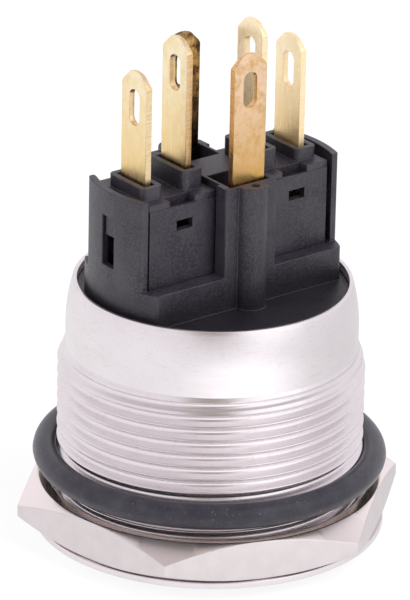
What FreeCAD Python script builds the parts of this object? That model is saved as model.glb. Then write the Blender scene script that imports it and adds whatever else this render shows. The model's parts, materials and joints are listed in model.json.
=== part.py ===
import FreeCAD, Part

import math
import os
from types import SimpleNamespace

import Sketcher

# Panel push button with a flat steel cap, M22x1 thread and two snap-in contact modules.
# Millimetres and degrees. It stands face down: z = 0 is the bezel's front face, +Z runs
# back along the barrel to the solder blades, and the contact row runs along X.

VALUES = {
    # Fits and clearances
    "travel": 1.6,
    "press_gap": 0.05,
    "running_gap": 0.1,
    "snap_gap": 0.1,
    "blade_gap": 0.03,
    # Row of contact blades, from the middle outwards
    "row_y": 0.3,
    "web_half_width": 1.95,
    "inner_blade_inset": 1.25,
    "blade_pitch": 3.5,
    "outer_blade_inset": 1.1,
    "end_relief": 0.65,
    "end_wall": 0.55,
    # Barrel, from the housing's round outwards and from the bezel back
    "housing_inset": 0.46,
    "lip_overlap": 0.09,
    "lip_height": 0.6,
    "barrel_wall": 0.7,
    "thread_depth": 0.55,
    "thread_pitch": 1.0,
    "groove_float": 0.02,
    "groove_root_width": 0.1,
    "relief_width": 0.6,
    "thread_length": 13.6,
    "smooth_length": 0.9,
    "shoulder_height": 3.5,
    "shoulder_inset": 0.49,
    "shoulder_curve": 12.5,
    # Bezel
    "bezel_overhang": 1.6,
    "bezel_thickness": 1.5,
    "bezel_edge": 0.45,
    "bezel_slope": 2.5,
    "front_ledge": 1.2,
    "front_wall": 1.0,
    # Nut and rubber ring
    "nut_wall": 1.4,
    "nut_land": 1.3,
    "nut_thickness": 2.95,
    "nut_chamfer": 1.08,
    "nut_mouth": 0.5,
    "nut_turn": 39.93,
    "ring_cord_radius": 0.8,
    "ring_gap_above_nut": 1.0,
    # Button, its stem and the lens round it
    "button_recess": 0.15,
    "button_gap": 0.15,
    "button_thickness": 1.85,
    "button_edge": 0.25,
    "lens_recess": 0.1,
    "lens_width": 0.8,
    "lens_flange": 1.0,
    "lens_skirt_wall": 1.0,
    "lens_skirt_length": 2.8,
    "stem_radius": 2.5,
    "spigot_step": 1.0,
    # Lamp ring
    "lamp_height": 0.6,
    "lamp_base_height": 0.3,
    "lamp_dome_inset": 0.1,
    "lamp_length": 1.6,
    "lamp_width": 0.8,
    "lamp_inset": 0.6,
    "lamp_count": 4,
    "board_thickness": 0.8,
    "resistor_length": 2.0,
    "resistor_width": 1.25,
    "resistor_height": 0.5,
    "resistor_inset": 1.5,
    # Guide bush and stem seal
    "overtravel_gap": 0.2,
    "guide_flange": 1.6,
    "guide_wall": 1.0,
    "pocket_wall": 0.6,
    "pocket_depth": 5.2,
    "guide_web": 0.8,
    "seal_cord_radius": 0.7,
    "seal_side_gap": 0.05,
    "washer_thickness": 0.6,
    "washer_rim": 0.75,
    "clip_thickness": 0.6,
    "clip_overlap": 1.7,
    "clip_groove_depth": 0.5,
    "clip_mouth": 2.6,
    # Coil springs
    "spring_inset": 1.0,
    "spring_wire": 0.25,
    "spring_turns": 4.5,
    "module_spring_radius": 0.8,
    "module_spring_wire": 0.1,
    "module_spring_turns": 7.0,
    # Cross bar
    "bar_overhang": 1.3,
    "bar_half_width": 2.1,
    "bar_thickness": 1.45,
    "bar_drop": 0.5,
    "bar_room": 0.5,
    # Rear housing
    "skirt_wall": 1.2,
    "module_sink": 0.3,
    "ledge_height": 2.5,
    "tower_height": 6.65,
    "bay_step": 0.15,
    "ledge_depth": 1.2,
    "post_shoulder": 0.32,
    "rib_radius": 1.15,
    "rib_hole_radius": 0.3,
    "rib_hole_reach": 0.38,
    "window_half_width": 0.7,
    "window_rise": 1.05,
    "window_drop": 1.9,
    "pit_wall": 0.25,
    "pit_inner": 1.5,
    "pit_depth": 1.5,
    # Contact modules
    "module_drop": 0.45,
    "module_half_depth": 3.15,
    "module_wall": 0.7,
    "module_roof": 0.9,
    "band_height": 0.45,
    "band_recess": 0.12,
    "panel_recess": 0.08,
    "panel_seam": 0.9,
    "notch_half_width": 1.1,
    "notch_depth": 1.0,
    "notch_lip": 0.3,
    "notch_drop": 1.1,
    "hole_half_width": 0.7,
    "hole_height": 0.75,
    "hole_drop": 1.97,
    "hole_shift": 0.2,
    "latch_reach": 1.05,
    "latch_half_width": 0.55,
    "latch_height": 1.45,
    "collar_half_width": 0.9,
    "collar_half_length": 2.1,
    "collar_corner": 0.5,
    "collar_slot_half_width": 0.45,
    "collar_slot_half_length": 1.65,
    "collar_slot_depth": 1.0,
    "outer_collar_height": 0.9,
    "inner_collar_height": 1.45,
    # Make contacts
    "plunger_pin_radius": 1.05,
    "plunger_head_half_width": 0.8,
    "plunger_head_half_length": 1.5,
    "plunger_head_rise": 1.1,
    "plunger_head_height": 1.6,
    "plunger_spigot_radius": 0.55,
    "plunger_spigot_height": 0.9,
    "bridge_seat": 0.25,
    "bridge_thickness": 0.3,
    "bridge_end": 0.2,
    "bridge_half_width": 0.8,
    "pad_radius": 0.5,
    "pad_height": 0.15,
    # Solder blades
    "inner_blade_length": 9.3,
    "outer_blade_length": 8.0,
    "front_led_blade_length": 9.5,
    "rear_led_blade_length": 8.8,
    "led_blade_inset": 0.7,
    "led_blade_seat": 2.1,
    "blade_width": 2.8,
    "blade_thickness": 0.5,
    "blade_corner_width": 0.7,
    "blade_corner_height": 0.9,
    "blade_crown": 0.15,
    "coin_length": 1.0,
    "coin_thickness": 0.26,
    "slot_width": 1.2,
    "slot_length": 2.65,
    "slot_drop": 2.65,
    "foot_half_width": 0.8,
    "leg_half_width": 0.45,
    "leg_inset": 1.1,
    "leg_bend_drop": 1.4,
}


# Sizes: each one is a number here and a formula of the sheet's cells in the document.
class Size:
    def __init__(self, value, formula):
        self.value = value
        self.formula = formula

    def __add__(self, other):
        return joined(self, "+", other, lambda a, b: a + b)

    def __radd__(self, other):
        return as_size(other) + self

    def __sub__(self, other):
        return joined(self, "-", other, lambda a, b: a - b)

    def __rsub__(self, other):
        return as_size(other) - self

    def __mul__(self, other):
        return joined(self, "*", other, lambda a, b: a * b)

    def __rmul__(self, other):
        return as_size(other) * self

    def __truediv__(self, other):
        return joined(self, "/", other, lambda a, b: a / b)

    def __neg__(self):
        return 0 - self


def as_size(number):
    if isinstance(number, Size):
        return number
    return Size(float(number), repr(float(number)))


def joined(left, sign, right, work):
    left, right = as_size(left), as_size(right)
    formula = "(%s %s %s)" % (left.formula, sign, right.formula)
    return Size(work(left.value, right.value), formula)


doc = FreeCAD.newDocument("PushButton")
sheet = doc.addObject("Spreadsheet::Sheet", "Sizes")
for row, (name, value) in enumerate(VALUES.items(), start=1):
    sheet.set("A%d" % row, name)
    sheet.set("B%d" % row, str(value))
    sheet.setAlias("B%d" % row, name)
doc.recompute()
s = SimpleNamespace(**{name: Size(float(value), "Sizes." + name) for name, value in VALUES.items()})


# Sizes that follow from the ones in the sheet.
SIDES = {"left": -1, "right": 1}
LED_SIDES = {"front": -1, "rear": 1}

# Across: the row of blades, the housing round it, then the barrel.
module_inner = s.web_half_width + s.snap_gap
inner_terminal_x = module_inner + s.inner_blade_inset
outer_terminal_x = inner_terminal_x + s.blade_pitch
contact_mid = (inner_terminal_x + outer_terminal_x) / 2
module_outer = outer_terminal_x + s.outer_blade_inset
module_mid = (module_inner + module_outer) / 2
end_wall_inner = module_outer + s.snap_gap
bay_radius = end_wall_inner + s.end_relief
housing_radius = bay_radius + s.end_wall
lip_radius = housing_radius + s.housing_inset
bore_radius = lip_radius + s.lip_overlap
fitted_radius = bore_radius - s.press_gap
smooth_radius = bore_radius + s.barrel_wall
barrel_top_radius = smooth_radius - s.shoulder_inset
thread_radius = smooth_radius + s.thread_depth
bezel_radius = thread_radius + s.bezel_overhang
bezel_face_radius = bezel_radius - s.bezel_slope
front_hole_radius = bore_radius - s.front_ledge

# Nut
nut_across_flats = 2 * (thread_radius + s.nut_wall)
nut_corner = nut_across_flats / (2 * math.cos(math.radians(30)))
nut_face_radius = thread_radius + s.nut_land
nut_top = s.bezel_thickness + s.nut_thickness
ring_height = nut_top + s.ring_gap_above_nut + s.ring_cord_radius

# Button, lens and lamp ring
lens_bore_radius = front_hole_radius - s.lens_width
lens_back = s.front_wall + s.lens_flange
lens_skirt_radius = fitted_radius - s.lens_skirt_wall
lens_skirt_end = lens_back + s.lens_skirt_length
button_radius = lens_bore_radius - s.button_gap
button_back = s.button_recess + s.button_thickness
spigot_radius = s.stem_radius - s.spigot_step
board_front = lens_skirt_end + s.running_gap + s.lamp_height
board_back = board_front + s.board_thickness
lamp_circle = fitted_radius - s.lamp_inset

# Guide bush, seal and clip, from the front back
stem_bore = s.stem_radius + s.running_gap
washer_radius = stem_bore + 2 * s.seal_cord_radius + s.washer_rim
guide_tube_radius = washer_radius + s.press_gap + s.guide_wall
spring_pocket_radius = guide_tube_radius - s.pocket_wall
spring_radius = spring_pocket_radius - s.spring_inset
board_hole_radius = guide_tube_radius + s.running_gap
resistor_circle = board_hole_radius + s.resistor_inset
guide_front = button_back + s.travel + s.overtravel_gap
guide_flange_back = board_back + s.guide_flange
spring_pocket_end = guide_front + s.pocket_depth
seal_front = spring_pocket_end + s.guide_web
seal_height = 2 * (s.seal_cord_radius + s.seal_side_gap)
washer_front = seal_front + seal_height
guide_end = washer_front + s.washer_thickness
clip_radius = s.stem_radius + s.clip_overlap
clip_front = guide_end + s.press_gap
clip_back = clip_front + s.clip_thickness
bar_front = clip_back + s.bar_drop
bar_back = bar_front + s.bar_thickness
bar_half_length = contact_mid + s.bar_overhang

# Barrel heights, then the housing and the modules on it
thread_top = s.bezel_thickness + s.thread_length
smooth_top = thread_top + s.smooth_length
barrel_top = smooth_top + s.shoulder_height
shelf_top = barrel_top - s.lip_height - s.press_gap
ledge_top = shelf_top + s.ledge_height
housing_top = ledge_top + s.tower_height
block_half_depth = s.module_half_depth + s.bay_step
base_half_depth = block_half_depth + s.ledge_depth
post_half_width = s.web_half_width + s.post_shoulder
window_bottom = ledge_top + s.window_rise
window_top = housing_top - s.window_drop
pit_bottom = housing_top - s.pit_depth
module_bottom = bar_back + s.travel + s.bar_room
module_top = housing_top - s.module_drop
floor_bottom = module_bottom + s.module_sink
cavity_bottom = module_bottom + s.module_wall
cavity_top = module_top - s.module_roof
collar_tops = {"inner": module_top + s.inner_collar_height, "outer": module_top + s.outer_collar_height}

# Make contacts and blades
plunger_head_bottom = cavity_bottom + s.plunger_head_rise
head_top = plunger_head_bottom + s.plunger_head_height
bridge_bottom = plunger_head_bottom + s.bridge_seat
bridge_top = bridge_bottom + s.bridge_thickness
bridge_half_length = s.blade_pitch / 2 + s.bridge_end
foot_bottom = bridge_top + s.pad_height + s.travel + s.running_gap
foot_top = foot_bottom + s.blade_thickness
foot_clear = s.module_spring_radius + s.module_spring_wire + s.running_gap
terminal_x = {"inner": inner_terminal_x, "outer": outer_terminal_x}
terminal_tips = {"inner": collar_tops["inner"] + s.inner_blade_length,
                 "outer": collar_tops["outer"] + s.outer_blade_length}
led_blade_y = base_half_depth - s.led_blade_inset
led_tips = {"front": housing_top + s.front_led_blade_length, "rear": housing_top + s.rear_led_blade_length}
led_blade_bottom = floor_bottom + s.led_blade_seat
leg_y = fitted_radius - s.skirt_wall - s.leg_inset
leg_bend = floor_bottom - s.leg_bend_drop


# Drawing helpers
def bind(thing, path, size):
    thing.setExpression(path, as_size(size).formula)


def move(thing, x=0, y=0, z=0, turn=None):
    """Place a thing from sizes, turned about Z first where turn is given in degrees."""
    x, y, z = as_size(x), as_size(y), as_size(z)
    rotation = FreeCAD.Rotation(FreeCAD.Vector(0, 0, 1), as_size(turn or 0).value)
    thing.Placement = FreeCAD.Placement(FreeCAD.Vector(x.value, y.value, z.value), rotation)
    for path, size in (("Placement.Base.x", x), ("Placement.Base.y", y), ("Placement.Base.z", z)):
        bind(thing, path, size)
    return thing


def new_body(name):
    return doc.addObject("PartDesign::Body", name)


def new_sketch(body, role):
    plane = [item for item in body.Origin.OriginFeatures if item.Role == role][0]
    sketch = body.newObject("Sketcher::SketchObject", body.Name + "_sketch")
    sketch.AttachmentSupport = (plane, [""])
    sketch.MapMode = "FlatFace"
    return sketch


def side_curve(start, end, bulge):
    """A straight side, or an arc of radius |bulge| that swells to the right of its run."""
    if bulge is None:
        return Part.LineSegment(start, end)
    half = (end - start) / 2
    radius = abs(bulge)
    rise = radius - math.sqrt(radius * radius - half.Length ** 2)
    outward = FreeCAD.Vector(half.y, -half.x, 0).normalize() * math.copysign(rise, bulge)
    return Part.Arc(start, start + half + outward, end)


def corner_of(curve, point):
    return 1 if curve.StartPoint.isEqual(point, 1e-6) else 2


def draw(sketch, outline):
    """A closed outline through (across, up) sizes; a third value is the arc to the next point."""
    corners = [FreeCAD.Vector(as_size(entry[0]).value, as_size(entry[1]).value, 0) for entry in outline]
    count = len(outline)
    for index, entry in enumerate(outline):
        bulge = as_size(entry[2]).value if len(entry) > 2 else None
        sketch.addGeometry(side_curve(corners[index], corners[(index + 1) % count], bulge), False)
    sides = sketch.Geometry
    for index, entry in enumerate(outline):
        before = (index - 1) % count
        here = corner_of(sides[index], corners[index])
        there = corner_of(sides[before], corners[index])
        sketch.addConstraint(Sketcher.Constraint("Coincident", before, there, index, here))
        for kind, size in (("DistanceX", as_size(entry[0])), ("DistanceY", as_size(entry[1]))):
            number = sketch.addConstraint(Sketcher.Constraint(kind, -1, 1, index, here, size.value))
            bind(sketch, "Constraints[%d]" % number, size)
        if len(entry) > 2:
            size = as_size(entry[2])
            number = sketch.addConstraint(Sketcher.Constraint("Radius", index, abs(size.value)))
            bind(sketch, "Constraints[%d]" % number, size if size.value > 0 else -size)


def turned(name, outline):
    """A body turned about Z from an outline of (radius, height)."""
    body = new_body(name)
    sketch = new_sketch(body, "XZ_Plane")
    draw(sketch, outline)
    turn = body.newObject("PartDesign::Revolution", name + "_turn")
    turn.Profile = sketch
    turn.ReferenceAxis = (sketch, ["V_Axis"])
    turn.Angle = 360
    return body


def plate(name, role, outline, thickness):
    """A body of one outline, padded to both sides of its plane."""
    body = new_body(name)
    sketch = new_sketch(body, role)
    draw(sketch, outline)
    pad = body.newObject("PartDesign::Pad", name + "_pad")
    pad.Profile = sketch
    pad.Midplane = True
    bind(pad, "Length", thickness)
    return body


def block(name, x, y, z):
    """A box from three pairs of sizes, low and high."""
    box = doc.addObject("Part::Box", name)
    for path, (low, high) in (("Length", x), ("Width", y), ("Height", z)):
        bind(box, path, as_size(high) - as_size(low))
    return move(box, x[0], y[0], z[0])


def rod(name, radius, low, high, x=0, y=0):
    cylinder = doc.addObject("Part::Cylinder", name)
    bind(cylinder, "Radius", radius)
    bind(cylinder, "Height", as_size(high) - as_size(low))
    return move(cylinder, x, y, low)


def cross_pin(name, radius, length, height):
    """A pin that lies along X through the Z axis."""
    cylinder = doc.addObject("Part::Cylinder", name)
    bind(cylinder, "Radius", radius)
    bind(cylinder, "Height", length)
    move(cylinder, -length / 2, z=height)
    cylinder.Placement.Rotation = FreeCAD.Rotation(FreeCAD.Vector(0, 1, 0), 90)
    return cylinder


def ring(name, centre_radius, cord_radius, height):
    torus = doc.addObject("Part::Torus", name)
    bind(torus, "Radius1", centre_radius)
    bind(torus, "Radius2", cord_radius)
    return move(torus, z=height)


def fused(name, *pieces):
    union = doc.addObject("Part::MultiFuse", name)
    union.Shapes = list(pieces)
    union.Refine = True
    return union


def shared(name, *pieces):
    overlap = doc.addObject("Part::MultiCommon", name)
    overlap.Shapes = list(pieces)
    return overlap


def cut(name, base, *tools):
    difference = doc.addObject("Part::Cut", name)
    difference.Base = base
    difference.Tool = tools[0] if len(tools) == 1 else fused(name + "_tools", *tools)
    difference.Refine = True
    return difference


def softened(name, base, radius):
    """The upright edges of a block, rounded."""
    doc.recompute()
    rounded = doc.addObject("Part::Fillet", name)
    rounded.Base = base
    edges = enumerate(base.Shape.Edges, start=1)
    rounded.Edges = [(number, radius.value, radius.value) for number, edge in edges if is_upright(edge)]
    return rounded


def is_upright(edge):
    ends = [vertex.Point for vertex in edge.Vertexes]
    return len(ends) == 2 and (ends[1] - ends[0]).cross(FreeCAD.Vector(0, 0, 1)).Length < 1e-6


def across(side, near, far):
    """The low and high X of a stretch that lies near to far from the middle on one side."""
    near, far = as_size(near), as_size(far)
    return (near, far) if side > 0 else (-far, -near)


def about(middle, half):
    return (as_size(middle) - half, as_size(middle) + half)


def coil(name, radius, wire, turns, low, high):
    """A coil spring: six-sided wire lofted along a helix between two heights."""
    stations_per_turn, wire_sides = 14, 6
    stations = int(round(turns.value * stations_per_turn)) + 1
    rise = (as_size(high).value - as_size(low).value - 2 * wire.value) / (stations - 1)
    sections = []
    for station in range(stations):
        angle = 2 * math.pi * station / stations_per_turn
        outward = FreeCAD.Vector(math.cos(angle), math.sin(angle), 0)
        middle = outward * radius.value
        middle.z = as_size(low).value + wire.value + rise * station
        corners = []
        for corner in range(wire_sides):
            lean = 2 * math.pi * (corner + 0.5) / wire_sides
            offset = outward * math.cos(lean) + FreeCAD.Vector(0, 0, 1) * math.sin(lean)
            corners.append(middle + offset * wire.value)
        sections.append(Part.makePolygon(corners + corners[:1]))
    spring = doc.addObject("Part::Feature", name)
    spring.Shape = Part.makeLoft(sections, True, True)
    return spring


def cut_thread(body, root_radius, start, end):
    """Cut a V groove of 60 degrees round a body as a helix, from one height to another."""
    flank = math.tan(math.radians(30))
    past_crest = 0.15
    sketch = new_sketch(body, "XZ_Plane")
    root, mouth = s.groove_root_width / 2, s.groove_root_width / 2 + (s.thread_depth + past_crest) * flank
    draw(sketch, [
        (root_radius, start - root),
        (root_radius + s.thread_depth + past_crest, start - mouth),
        (root_radius + s.thread_depth + past_crest, start + mouth),
        (root_radius, start + root),
    ])
    groove = body.newObject("PartDesign::SubtractiveHelix", body.Name + "_thread")
    groove.Profile = sketch
    groove.ReferenceAxis = (sketch, ["V_Axis"])
    groove.Mode = 0
    bind(groove, "Pitch", s.thread_pitch)
    bind(groove, "Height", as_size(end) - as_size(start))
    return body


# Barrel: bezel flange, relief groove, thread, smooth collar and swaged lip.
def make_barrel():
    body = turned("barrel", [
        (front_hole_radius, 0),
        (bezel_face_radius, 0),
        (bezel_radius, s.bezel_thickness - s.bezel_edge),
        (bezel_radius, s.bezel_thickness),
        (smooth_radius, s.bezel_thickness),
        (smooth_radius, s.bezel_thickness + s.relief_width),
        (thread_radius, s.bezel_thickness + s.relief_width + s.thread_depth),
        (thread_radius, thread_top - s.thread_depth),
        (smooth_radius, thread_top),
        (smooth_radius, smooth_top, s.shoulder_curve),
        (barrel_top_radius, barrel_top),
        (lip_radius, barrel_top),
        (lip_radius, barrel_top - s.lip_height),
        (bore_radius, barrel_top - s.lip_height),
        (bore_radius, s.front_wall),
        (front_hole_radius, s.front_wall),
    ])
    first_groove = s.bezel_thickness + s.thread_pitch
    return cut_thread(body, smooth_radius + s.groove_float, first_groove, thread_top + s.thread_pitch)


# Hex nut, chamfered on both sides.
def make_nut():
    prism = doc.addObject("Part::Prism", "nut_hexagon")
    prism.Polygon = 6
    bind(prism, "Circumradius", nut_corner)
    bind(prism, "Height", s.nut_thickness)
    move(prism, z=s.bezel_thickness, turn=s.nut_turn)
    past_corner = 1
    reach = nut_corner + past_corner
    fall = s.nut_chamfer * (reach - nut_face_radius) / (nut_corner - nut_face_radius)
    cones = turned("nut_cones", [
        (0, s.bezel_thickness),
        (nut_face_radius, s.bezel_thickness),
        (reach, s.bezel_thickness + fall),
        (reach, nut_top - fall),
        (nut_face_radius, nut_top),
        (0, nut_top),
    ])
    bore = thread_radius + s.running_gap
    thread_hole = turned("nut_bore", [
        (0, s.bezel_thickness),
        (bore + s.nut_mouth, s.bezel_thickness),
        (bore, s.bezel_thickness + s.nut_mouth),
        (bore, nut_top - s.nut_mouth),
        (bore + s.nut_mouth, nut_top),
        (0, nut_top),
    ])
    return cut("hex_nut", shared("nut_blank", prism, cones), thread_hole)


# Rubber ring that grips the thread above the nut.
def make_panel_ring():
    centre_radius = thread_radius + s.running_gap + s.ring_cord_radius
    return ring("panel_o_ring", centre_radius, s.ring_cord_radius, ring_height)


# Flat steel cap with its stem, clip groove and spigot.
def make_button_cap():
    groove = s.stem_radius - s.clip_groove_depth
    return turned("button_cap", [
        (0, s.button_recess),
        (button_radius - s.button_edge, s.button_recess),
        (button_radius, s.button_recess + s.button_edge),
        (button_radius, button_back),
        (s.stem_radius, button_back),
        (s.stem_radius, clip_front - s.blade_gap),
        (groove, clip_front - s.blade_gap),
        (groove, clip_back + s.blade_gap),
        (s.stem_radius, clip_back + s.blade_gap),
        (s.stem_radius, bar_front),
        (spigot_radius, bar_front),
        (spigot_radius, bar_back),
        (0, bar_back),
    ])


# Clear ring round the button, with a skirt that brings light from the lamps.
def make_ring_lens():
    return turned("ring_lens", [
        (lens_bore_radius, s.lens_recess),
        (front_hole_radius - s.press_gap, s.lens_recess),
        (front_hole_radius - s.press_gap, s.front_wall),
        (fitted_radius, s.front_wall),
        (fitted_radius, lens_skirt_end),
        (lens_skirt_radius, lens_skirt_end),
        (lens_skirt_radius, lens_back),
        (lens_bore_radius, lens_back),
    ])


# Lamp ring: a ring-shaped board with four lamps and a resistor on its front.
def make_led_board():
    disc = rod("board_disc", fitted_radius, board_front, board_back)
    hole = rod("board_hole", board_hole_radius, board_front, board_back)
    return cut("led_board", disc, hole)


def make_lamp(number):
    name = "led_%d" % number
    angle = 360 * (number - 0.5) / s.lamp_count.value
    half_width, half_length = s.lamp_width / 2, s.lamp_length / 2
    base_front = board_front - s.lamp_base_height
    base = block(name + "_base", about(lamp_circle, half_width), about(0, half_length),
                 (base_front, board_front))
    dome = block(name + "_dome", about(lamp_circle, half_width - s.lamp_dome_inset),
                 about(0, half_length - s.lamp_dome_inset), (board_front - s.lamp_height, base_front))
    lamp = fused(name, base, dome)
    lamp.Placement = FreeCAD.Placement(FreeCAD.Vector(), FreeCAD.Rotation(FreeCAD.Vector(0, 0, 1), angle))
    return lamp


def make_resistor():
    return block("led_resistor", about(resistor_circle, s.resistor_width / 2),
                 about(0, s.resistor_length / 2), (board_front - s.resistor_height, board_front))


# Guide bush: spring pocket in front, stem bore, seal pocket and washer seat behind.
def make_guide_bush():
    seal_radius = stem_bore + 2 * s.seal_cord_radius + s.seal_side_gap
    bush = turned("guide_turned", [
        (spring_pocket_radius, guide_front),
        (guide_tube_radius, guide_front),
        (guide_tube_radius, board_back),
        (fitted_radius, board_back),
        (fitted_radius, guide_flange_back),
        (guide_tube_radius, guide_flange_back),
        (guide_tube_radius, guide_end),
        (washer_radius + s.press_gap, guide_end),
        (washer_radius + s.press_gap, washer_front),
        (seal_radius, washer_front),
        (seal_radius, seal_front),
        (stem_bore, seal_front),
        (stem_bore, spring_pocket_end),
        (spring_pocket_radius, spring_pocket_end),
    ])
    notches = [
        block("guide_notch_" + end, about(0, s.leg_half_width + s.running_gap),
              about(side * leg_y, s.blade_thickness / 2 + s.running_gap), (board_back, guide_flange_back))
        for end, side in LED_SIDES.items()
    ]
    return cut("guide_bush", bush, *notches)


def make_stem_seal():
    middle = seal_front + seal_height / 2
    return ring("stem_seal", stem_bore + s.seal_cord_radius, s.seal_cord_radius, middle)


def make_seal_washer():
    disc = rod("washer_disc", washer_radius, washer_front, guide_end)
    return cut("seal_washer", disc, rod("washer_hole", stem_bore, washer_front, guide_end))


# Clip on the stem that keeps the button in; open on one side.
def make_retaining_clip():
    disc = rod("clip_disc", clip_radius, clip_front, clip_back)
    hole = rod("clip_hole", s.stem_radius - s.clip_groove_depth + s.blade_gap, clip_front, clip_back)
    mouth = block("clip_opening", (0, clip_radius), about(0, s.clip_mouth / 2), (clip_front, clip_back))
    return cut("retaining_clip", disc, hole, mouth)


# Cross bar on the stem's spigot that pushes both module plungers.
def make_cross_bar():
    blank = block("bar_blank", about(0, bar_half_length), about(s.row_y, s.bar_half_width),
                  (bar_front, bar_back))
    bar = softened("bar_rounded", blank, spigot_radius)
    hole = rod("bar_hole", spigot_radius + s.blade_gap, bar_front, bar_back)
    return cut("cross_bar", bar, hole)


def make_return_spring():
    return coil("return_spring", spring_radius, s.spring_wire, s.spring_turns,
                button_back + s.press_gap, spring_pocket_end - s.press_gap)


# Rear housing
def housing_slab(name, half_depth, low, high):
    """The housing's round stock, flattened front and rear."""
    stock = rod(name + "_round", housing_radius, low, high)
    flats = block(name + "_flats", about(0, housing_radius), about(s.row_y, half_depth), (low, high))
    return shared(name, stock, flats)


def housing_body():
    shelf = rod("housing_shelf", fitted_radius, guide_flange_back, shelf_top)
    base = housing_slab("housing_base", base_half_depth, shelf_top, ledge_top)
    tower = housing_slab("housing_tower", block_half_depth, ledge_top, housing_top)
    post = block("housing_post", about(0, post_half_width), about(s.row_y, base_half_depth),
                 (ledge_top, housing_top))
    ribs = [
        rod("housing_rib_" + end, s.rib_radius, shelf_top, housing_top,
            y=s.row_y + side * base_half_depth)
        for end, side in LED_SIDES.items()
    ]
    return fused("housing_body", shelf, base, tower, post, *ribs)


def housing_hollows():
    """Everything that is open in the housing."""
    hollows = [rod("housing_skirt_hollow", fitted_radius - s.skirt_wall, guide_flange_back, floor_bottom)]
    for hand, side in SIDES.items():
        bay = across(side, s.web_half_width, end_wall_inner)
        hollows.append(block("bay_%s" % hand, bay, about(s.row_y, s.module_half_depth + s.press_gap),
                             (module_bottom, housing_top)))
        hollows.append(block("bay_mouth_%s" % hand, bay, about(s.row_y, block_half_depth),
                             (ledge_top, housing_top)))
        hollows.append(shared("end_relief_%s" % hand,
                              block("end_relief_block_%s" % hand, across(side, module_inner, bay_radius),
                                    about(s.row_y, block_half_depth), (ledge_top, housing_top)),
                              rod("end_relief_round_%s" % hand, bay_radius, ledge_top, housing_top)))
        hollows.append(block("end_window_%s" % hand, across(side, end_wall_inner, housing_radius),
                             about(s.row_y, s.window_half_width), (window_bottom, window_top)))
    for end, side in LED_SIDES.items():
        blade_y = s.row_y + side * led_blade_y
        near, far = s.pit_inner, base_half_depth - s.pit_wall
        pit = (s.row_y + near, s.row_y + far) if side > 0 else (s.row_y - far, s.row_y - near)
        hollows.append(block("pit_%s" % end, about(0, s.web_half_width - s.pit_wall), pit,
                             (pit_bottom, housing_top)))
        hollows.append(block("blade_slot_%s" % end, about(0, s.blade_width / 2 + s.blade_gap),
                             about(blade_y, s.blade_thickness / 2 + s.blade_gap),
                             (floor_bottom, housing_top)))
        hollows.append(rod("rib_hole_%s" % end, s.rib_hole_radius, pit_bottom, housing_top,
                           y=s.row_y + side * (base_half_depth + s.rib_hole_reach)))
    return hollows


def make_rear_housing():
    return cut("rear_housing", housing_body(), *housing_hollows())


# Contact module cases
def collar(name, x, top):
    blank = block(name + "_blank", about(x, s.collar_half_width), about(s.row_y, s.collar_half_length),
                  (cavity_top, top))
    return softened(name, blank, s.collar_corner)


def case_terminals(side):
    """Name, X place and collar top of a module's two blades."""
    return [(place, side * x, collar_tops[place]) for place, x in terminal_x.items()]


def make_module_case(hand):
    side = SIDES[hand]
    name = hand + "_module_case"
    width = across(side, module_inner, module_outer)
    middle = side * module_mid
    front, rear = about(s.row_y, s.module_half_depth)
    shell = block(name + "_shell", width, (front, rear), (module_bottom, module_top))
    latch_top = window_top - s.press_gap
    latch = block(name + "_latch", across(side, module_outer, module_outer + s.latch_reach),
                  about(s.row_y, s.latch_half_width), (latch_top - s.latch_height, latch_top))
    collars = [collar("%s_%s_collar" % (name, place), x, top) for place, x, top in case_terminals(side)]
    solid = fused(name + "_solid", shell, latch, *collars)

    inside = across(side, module_inner + s.module_wall, module_outer - s.module_wall)
    band_bottom = module_top - s.band_height
    tools = [
        block(name + "_cavity", inside, about(s.row_y, s.module_half_depth - s.module_wall),
              (cavity_bottom, cavity_top)),
        rod(name + "_pin_hole", s.plunger_pin_radius + s.running_gap, module_bottom, cavity_bottom,
            side * contact_mid, s.row_y),
        block(name + "_front_band", width, (front, front + s.band_recess), (band_bottom, module_top)),
        block(name + "_rear_band", width, (rear - s.band_recess, rear), (band_bottom, module_top)),
        block(name + "_notch", about(middle, s.notch_half_width), (front, front + s.notch_depth),
              (band_bottom, module_top)),
        block(name + "_notch_well", about(middle, s.notch_half_width),
              (front + s.notch_lip, front + s.notch_depth), (module_top - s.notch_drop, module_top)),
        block(name + "_panel", (middle - s.panel_seam, width[1]), (front, front + s.panel_recess),
              (module_bottom, module_top)),
        block(name + "_hole", about(middle + s.hole_shift, s.hole_half_width),
              (front, front + s.module_wall), about(module_top - s.hole_drop, s.hole_height / 2)),
    ]
    for place, x, top in case_terminals(side):
        tools.append(block("%s_%s_recess" % (name, place), about(x, s.collar_slot_half_width),
                           about(s.row_y, s.collar_slot_half_length), (top - s.collar_slot_depth, top)))
        tools.append(block("%s_%s_slot" % (name, place), about(x, s.blade_thickness / 2 + s.blade_gap),
                           about(s.row_y, s.blade_width / 2 + s.blade_gap), (cavity_top, top)))
    return cut(name, solid, *tools)


# Make contact of one module: plunger, bridge and spring.
def make_module_plunger(hand):
    x = SIDES[hand] * contact_mid
    name = hand + "_module_plunger"
    pin = rod(name + "_pin", s.plunger_pin_radius, bar_back + s.press_gap, plunger_head_bottom,
              x, s.row_y)
    head = block(name + "_head", about(x, s.plunger_head_half_width),
                 about(s.row_y, s.plunger_head_half_length), (plunger_head_bottom, head_top))
    spigot = rod(name + "_spigot", s.plunger_spigot_radius, head_top, head_top + s.plunger_spigot_height,
                 x, s.row_y)
    window = block(name + "_window", about(x, s.plunger_head_half_width),
                   about(s.row_y, s.bridge_half_width + s.press_gap),
                   (bridge_bottom - s.press_gap, bridge_top + s.pad_height))
    return cut(name, fused(name + "_solid", pin, head, spigot), window)


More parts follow.
